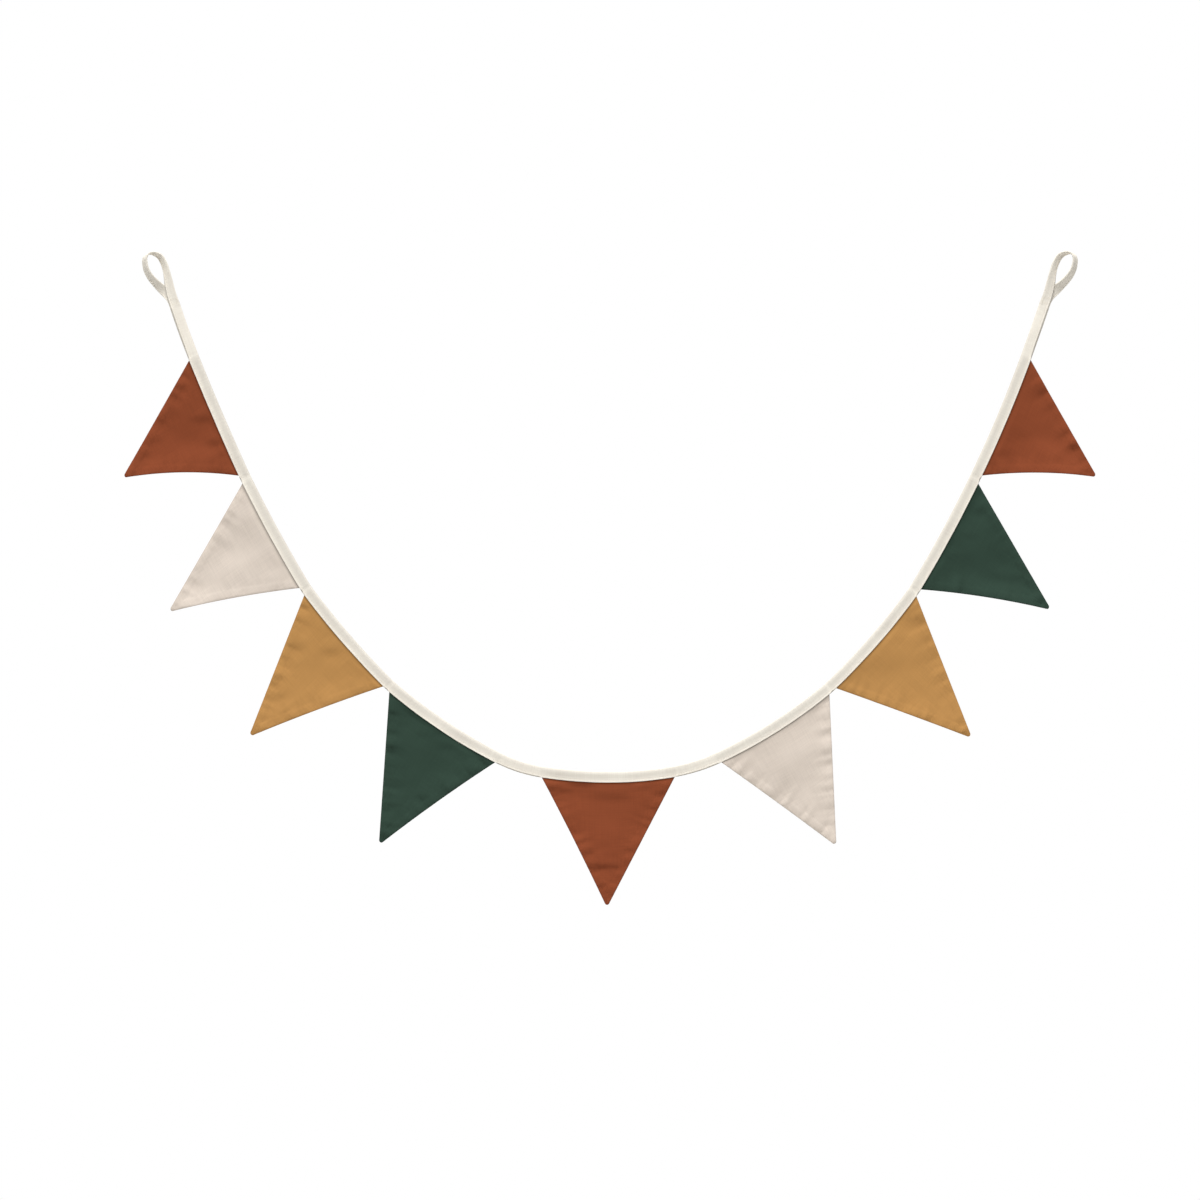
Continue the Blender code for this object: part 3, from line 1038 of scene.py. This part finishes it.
def loop_tack(near, far, settings):
    """Stitches that close a box with the long seam, between two places along the tape."""
    top = TAPE_WIDTH - settings.inset
    count = round((top - settings.inset) / settings.pitch)
    rise = (top - settings.inset) / count
    lines = []
    for travel in (near, far):
        for n in range(count):
            low = settings.inset + n * rise + STITCH_SPACE
            lines.append((travel, low, travel, low + rise - 2 * STITCH_SPACE, 1))
    count = round((far - near) / settings.pitch)
    run = (far - near) / count
    for n in range(count):
        start = near + n * run + STITCH_SPACE
        lines.append((start, top, start + run - 2 * STITCH_SPACE, top, 1))
    return lines


class BUNTING_OT_stitches(bpy.types.Operator):
    """Sew the tape along its lower edge, front and back, and tack the loops down"""

    bl_idname = "bunting.stitches"
    bl_label = "Stitches"

    def execute(self, context):
        settings = context.scene.tape_settings
        spine = tape_spine(settings)
        centres = [centre for centre, _, _ in loop_frames(-1)]
        loop = float(np.linalg.norm(np.diff(centres, axis=0), axis=1).sum())
        whole = float(spine.travel[-1])
        lines = seam_line(spine, settings)
        for middle in (TACK_PLACE, loop - TACK_PLACE, whole - loop + TACK_PLACE,
                       whole - TACK_PLACE):
            lines += loop_tack(middle - TACK_HALF, middle + TACK_HALF, settings)
        lines = np.array(lines)[:, :, None]
        share = np.linspace(0, 1, len(THREAD_TAPER))
        travel = lines[:, 0] + (lines[:, 2] - lines[:, 0]) * share
        height = lines[:, 1] + (lines[:, 3] - lines[:, 1]) * share
        out = np.broadcast_to(lines[:, 4], travel.shape)
        runs, faces = on_face(spine, travel, height, out, settings)
        runs += faces * (np.array(THREAD_BOW) * settings.thread)[:, None]
        piece = thread_stitches(STITCH_PIECE, runs, faces[:, 0], settings.thread, cotton_thread())
        piece.parent = bpy.data.objects[TAPE_PIECE]
        return {"FINISHED"}


# ---- The pennants ----

SEED = 11

# Distances in from a side edge at which the cloth is drawn, closest at the rolled seam, and rows
# above the tape's edge as shares of the seam's depth.
EDGE_PLACES = np.array((0, 0.12, 0.35, 0.7, 1.2, 1.9, 2.8, 4.0, 5.5, 7.3, 9.0, 10.5)) * MM
MIDDLE_COLUMNS = 46
INSIDE_ROWS = np.array((-1, -0.7, -0.45, -0.2))

# Near the point, the share of a row's width that the columns at each edge take.
EDGE_SHARE = 0.42
POINT_ROWS = 7
LAST_TURN = radians(6)
TOP_SAMPLES = 120

# How gently the seam allowance ends.
ALLOWANCE_RAMP = 3.5 * MM

# Inside the tape a pennant is held flat, half this thick, and it swells below it.
GRIPPED = 0.54 * MM
GRIP_RAMP = 6 * MM

PUCKER_REACH = 6 * MM
PUCKER_START = 1.5 * MM
FINE_PUCKERS = 2.3
FINE_SHARE = 0.25
FINE_SEED = 20
GATHER_SEED = 40
WAVE_SEED = 60
GATHER_WAVE = 11 * MM
GATHER_REACH = 8 * MM
GATHER_DEPTH = 0.6 * MM
CURL_REACH = 3.0 * MM
CURL_DEPTH = 0.7 * MM
CURL_START = 0.5
CURL_GROWTH = 120 * MM
RELIEF_RAMP = 7 * MM
CREASE_RAMP = 3 * MM

# How far and how much the colour is painted darker: painted shade in from a rolled seam, and a
# painted shadow down from the tape.
SEAM_SHADE = 1.0 * MM
SEAM_PAINTED_SHADE = 0.5
TAPE_SHADE = 1.8 * MM
UNDER_TAPE_PAINTED_SHADOW = 1.7


def pennant_rows(half_width, drop, step):
    """Rows from the raw top edge to the point: how far down, and half how wide."""
    lean = atan2(half_width, drop)
    full_drop = drop + POINT_RADIUS * (1 / sin(lean) - 1)
    centre = full_drop - POINT_RADIUS / sin(lean)
    straight_end = centre + POINT_RADIUS * sin(lean)
    inside = SEAM_DEPTH * INSIDE_ROWS
    straight = np.linspace(0, straight_end, round(straight_end / step) + 1)
    turns = np.linspace(pi / 2 - lean, LAST_TURN, POINT_ROWS + 1)[1:]
    down = np.concatenate((inside, straight, centre + POINT_RADIUS * np.cos(turns)))
    half = np.concatenate((
        np.full(len(inside), half_width),
        half_width * (1 - straight / full_drop),
        POINT_RADIUS * np.sin(turns),
    ))
    return down, half, lean, centre


def pennant_columns(half, lean):
    """Places across each row, closest together at its two edges."""
    edge = EDGE_PLACES / cos(lean)
    width = 2 * half[:, None]
    shrink = np.minimum(1, EDGE_SHARE * width / edge[-1])
    left = edge * shrink
    inner = left[:, -1:]
    share = np.linspace(0, 1, MIDDLE_COLUMNS + 2)[1:-1]
    middle = inner + (width - 2 * inner) * share
    return np.hstack((left, middle, width - left[:, ::-1])) - width / 2


def edge_distances(down, x, half_width, lean, centre):
    """How far each place is from the uphill edge, the downhill edge and the nearest edge."""
    full_drop = centre + POINT_RADIUS / sin(lean)
    line = half_width * (1 - np.maximum(down, 0) / full_drop)
    uphill = (line + x) * cos(lean)
    downhill = (line - x) * cos(lean)
    at_point = np.arctan2(np.abs(x), down - centre) < pi / 2 - lean
    to_point = POINT_RADIUS - np.hypot(x, down - centre)
    nearest = np.where(at_point & (down > centre), to_point, np.minimum(uphill, downhill))
    return uphill, downhill, np.maximum(nearest, 0)


def half_thickness(edge, down, settings):
    """The rolled seam, the allowance pressed inside it, and the two cloths alone in the middle."""
    outward = 1 - np.minimum(edge / settings.roll, 1)
    rolled = settings.edge / 2 * np.sqrt(1 - outward ** 2)
    thin = smooth_steps((edge - settings.allowance) / ALLOWANCE_RAMP)
    body = rolled + (settings.middle - settings.edge) / 2 * thin
    grip = smooth_steps(down / GRIP_RAMP)
    return np.minimum(body, GRIPPED) * (1 - grip) + body * grip


def creases(pennant, down, x):
    """The main creases that are listed."""
    slopes = [abs(tape_station(distance).slope) for distance in pennant_span(pennant)]
    slope = 0 if pennant.stretch == "middle" else sum(slopes) / 2
    total = np.zeros_like(down)
    for fold in FOLDS[pennant.node]:
        aside, below = x - fold.aside * MM, down - fold.down * MM
        level = (aside * cos(slope) - below * sin(slope)) / (fold.across * MM)
        fall = (aside * sin(slope) + below * cos(slope)) / (fold.height * MM)
        depth = fold.strength * FOLD_LEAN * fold.height * MM
        total -= depth * fall * np.exp(-(level ** 2 + fall ** 2) / 2)
    return total


def relief(down, x, uphill, downhill, lean, seed, settings):
    """Puckers along the seams, gathers below the tape, soft waves in the slack cloth, and the
    lower edge's slight curl to the back."""
    puckers = 0
    seed = seed + HALF_WAY
    for number, edge in enumerate((uphill, downhill)):
        along = down * cos(lean) + (1 - 2 * number) * x * sin(lean)
        reach = (np.maximum(edge, 0) + PUCKER_START) / PUCKER_REACH
        fade = reach * np.exp(1 - reach)
        drawn = soft_noise(along / settings.spacing, HALF_WAY, seed + number)
        fine = soft_noise(FINE_PUCKERS * along / settings.spacing, HALF_WAY,
                          seed + number + FINE_SEED)
        puckers = puckers + fade * (drawn + FINE_SHARE * fine)
    reach = np.maximum(down, 0) / GATHER_REACH
    swell = reach * np.exp((1 - reach ** 2) / 2)
    gathers = (0.5 + soft_noise(x / GATHER_WAVE, HALF_WAY, seed + GATHER_SEED)) * swell
    waves = soft_noise(x / settings.wave_width, down / settings.wave_width, seed + WAVE_SEED)
    curl = np.exp(-np.maximum(downhill, 0) / CURL_REACH) * (CURL_START + down / CURL_GROWTH)
    total = settings.pucker * puckers + settings.wave * waves - CURL_DEPTH * curl
    return total * smooth_steps(down / RELIEF_RAMP) + GATHER_DEPTH * gathers


def pennant_surface(pennant, down, half, x, forward):
    """The middle surface of a pennant, hung from the tape, from places on the flat cloth."""
    uphill, downhill = pennant_span(pennant)
    shares = np.linspace(0, 1, TOP_SAMPLES)
    frames = [tape_frame(uphill + (downhill - uphill) * share) for share in shares]
    edges = np.array([centre + across * TAPE_WIDTH / 2 for centre, across, _ in frames])
    acrosses = np.array([across for _, across, _ in frames])
    high, low = edges[0], edges[-1]
    middle = (high + low) / 2
    chord = (low - high) / np.linalg.norm(low - high)
    outward = np.array((-chord[2], 0, chord[0]))
    outward *= -np.sign(outward[2])
    drop = pennant.drop * MM
    spine = outward * drop + chord * pennant.sag * MM
    lower_edge = middle + spine - low
    into_cloth = np.array((-lower_edge[2], 0, lower_edge[0])) / np.linalg.norm(lower_edge)
    into_cloth *= -np.sign(into_cloth @ chord)

    share = x / (2 * half) + 0.5
    top = np.stack([np.interp(share, shares, edges[:, axis]) for axis in range(3)], -1)
    hang = np.stack([np.interp(share, shares, acrosses[:, axis]) for axis in range(3)], -1)
    part = np.maximum(down, 0) / drop
    slack = 4 * part * (1 - part) * share ** 2
    width = half / half[0]
    points = middle + spine * part[..., None] + (top - middle) * width[..., None]
    points += into_cloth * (pennant.arch * MM * slack)[..., None]
    points += hang * np.minimum(down, 0)[..., None]
    stand = (pennant.lift * part ** 2 + 2 * pennant.belly * slack * part) * MM + forward
    return points + FORWARD * stand[..., None]


def sew_pennant(pennant, seed, settings):
    uphill, downhill = pennant_span(pennant)
    ends = [tape_frame(distance) for distance in (uphill, downhill)]
    corners = [centre + across * TAPE_WIDTH / 2 for centre, across, _ in ends]
    half_width = float(np.linalg.norm(corners[1] - corners[0])) / 2
    drop = pennant.drop * MM
    down, half, lean, centre = pennant_rows(half_width, drop, settings.row_step)
    x = pennant_columns(half, lean)
    down, half = (np.broadcast_to(values[:, None], x.shape) for values in (down, half))
    to_uphill, to_downhill, edge = edge_distances(down, x, half_width, lean, centre)
    forward = relief(down, x, to_uphill, to_downhill, lean, seed, settings)
    forward += creases(pennant, down, x) * smooth_steps(down / CREASE_RAMP)
    points = pennant_surface(pennant, down, half, x, forward)
    normals = np.cross(np.gradient(points, axis=1), np.gradient(points, axis=0))
    normals /= np.linalg.norm(normals, axis=2, keepdims=True)
    half_thick = half_thickness(edge, down, settings)[..., None]
    # Painted shade along the rolled seams, and a painted shadow just below the tape.
    tone = SEAM_PAINTED_SHADE * np.exp(-((edge / SEAM_SHADE) ** 2))
    tone += UNDER_TAPE_PAINTED_SHADOW * np.exp(-((down / TAPE_SHADE) ** 2))
    piece = two_skins(
        pennant.node + "_sewn",
        points + normals * half_thick,
        points - normals * half_thick,
        np.stack((x, down), axis=-1),
        (tone, tone),
        bpy.data.materials.get(POPLIN + pennant.cloth) or cotton_poplin(pennant.cloth),
    )
    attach(piece, BODY)
    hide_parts(pennant.node)


class BUNTING_OT_pennants(bpy.types.Operator):
    """Sew the nine pennants, turn them and hang them in the tape"""

    bl_idname = "bunting.pennants"
    bl_label = "Pennants"

    def execute(self, context):
        for number, pennant in enumerate(PENNANTS):
            sew_pennant(pennant, SEED + 5 * number, context.scene.pennant_settings)
        return {"FINISHED"}


# ---- The studio ----

FLOOR_SIDES = 96
HORIZON = 0.3
KEY_TOWARDS = (0.12, 0.7, -1.1)
SIDE_TOWARDS = ((-1.0, 0.35, 0.1), (1.0, 0.35, 0.1))
REAR_TOWARDS = (0.2, -1.0, -0.8)

# The angles that the lamps fill, in degrees.
KEY_SOFTNESS = 25
FILL_SOFTNESS = 60

# How far the camera sees, in distances to the swag.
FAR_END = 4


def set_surround(scene, above, below):
    """White to the camera, and as light, brighter from above than from below, so that it shapes
    the cloth softly."""
    world = bpy.data.worlds.new("studio surround")
    world.use_nodes = True
    tree = world.node_tree
    tree.nodes.clear()
    place = add(tree, "ShaderNodeTexCoord").outputs["Generated"]
    split = add(tree, "ShaderNodeSeparateXYZ", {0: place})
    dome = add(tree, "ShaderNodeMapRange",
               {"Value": split.outputs["Z"], "From Min": -HORIZON, "From Max": HORIZON,
                "To Min": below, "To Max": above})
    seen = add(tree, "ShaderNodeLightPath")
    lit = add(tree, "ShaderNodeMapRange",
              {"Value": seen.outputs["Is Camera Ray"], "To Min": dome.outputs["Result"],
               "To Max": 1.0})
    glow = add(tree, "ShaderNodeBackground",
               {"Color": (1, 1, 1, 1), "Strength": lit.outputs["Result"]})
    add(tree, "ShaderNodeOutputWorld", {"Surface": glow.outputs["Background"]})
    scene.world = world


def add_lamp(name, strength, towards, softness):
    """A broad lamp that shines in a direction, softness being the angle it fills in degrees."""
    light = bpy.data.lights.new(name, "SUN")
    light.energy = strength
    light.angle = radians(softness)
    lamp = bpy.data.objects.new(name, light)
    lamp.rotation_euler = Vector(towards).to_track_quat("-Z", "Y").to_euler()
    bpy.context.scene.collection.objects.link(lamp)


class BUNTING_OT_studio(bpy.types.Operator):
    """Set the floor, the surround, the lamps and a camera square to the swag"""

    bl_idname = "bunting.studio"
    bl_label = "Studio"

    def execute(self, context):
        studio = context.scene.studio_settings
        low, high = cad_box
        middle = (low + high) / 2

        mesh = bpy.data.meshes.new("studio_floor")
        disc = bmesh.new()
        bmesh.ops.create_circle(disc, cap_ends=True, segments=FLOOR_SIDES,
                                radius=studio.floor_radius)
        disc.to_mesh(mesh)
        disc.free()
        mesh.materials.append(matt_paint())
        floor = bpy.data.objects.new("studio_floor", mesh)
        floor.location = (middle.x, middle.y, -studio.floor_drop)
        context.scene.collection.objects.link(floor)

        set_surround(context.scene, studio.above, studio.below)
        add_lamp("key_lamp", studio.key, KEY_TOWARDS, KEY_SOFTNESS)
        for number, towards in enumerate(SIDE_TOWARDS, start=1):
            add_lamp(f"side_lamp_{number}", studio.side, towards, FILL_SOFTNESS)
        add_lamp("rear_lamp", studio.rear, REAR_TOWARDS, FILL_SOFTNESS)
        context.scene.view_settings.view_transform = "Standard"

        camera = bpy.data.cameras.new("studio_camera")
        camera.lens = studio.lens
        away = studio.view_width * camera.lens / camera.sensor_width
        camera.clip_end = FAR_END * away
        viewer = bpy.data.objects.new("studio_camera", camera)
        viewer.location = (middle.x + studio.view_right, SWAG_ORIGIN[1] - away,
                           middle.z + studio.view_up)
        viewer.rotation_euler = (pi / 2, 0, 0)
        context.scene.collection.objects.link(viewer)
        context.scene.camera = viewer
        return {"FINISHED"}


class BUNTING_PT_panel(bpy.types.Panel):
    """Makes the bunting, one group of pieces at a time"""

    bl_label = "Fabric Bunting"
    bl_space_type = "VIEW_3D"
    bl_region_type = "UI"
    bl_category = "Bunting"

    def draw(self, context):
        for operator in OPERATORS:
            self.layout.operator(operator.bl_idname)
        for group in SETTINGS:
            box = self.layout.box()
            for name in SETTINGS[group].__annotations__:
                box.prop(getattr(context.scene, group), name)


OPERATORS = (BUNTING_OT_tape, BUNTING_OT_stitches, BUNTING_OT_pennants, BUNTING_OT_studio)
SETTINGS = {
    "tape_settings": TapeSettings,
    "pennant_settings": PennantSettings,
    "cotton_colours": CottonColours,
    "studio_settings": StudioSettings,
}


def register():
    for made in (*SETTINGS.values(), *OPERATORS, BUNTING_PT_panel):
        bpy.utils.register_class(made)
    for name, group in SETTINGS.items():
        setattr(bpy.types.Scene, name, PointerProperty(type=group))


def unregister():
    for name in SETTINGS:
        delattr(bpy.types.Scene, name)
    for made in (BUNTING_PT_panel, *reversed(OPERATORS), *reversed(list(SETTINGS.values()))):
        bpy.utils.unregister_class(made)


def main():
    register()
    bpy.ops.bunting.tape()
    bpy.ops.bunting.stitches()
    bpy.ops.bunting.pennants()
    bpy.ops.bunting.studio()


if __name__ == "__main__":
    main()
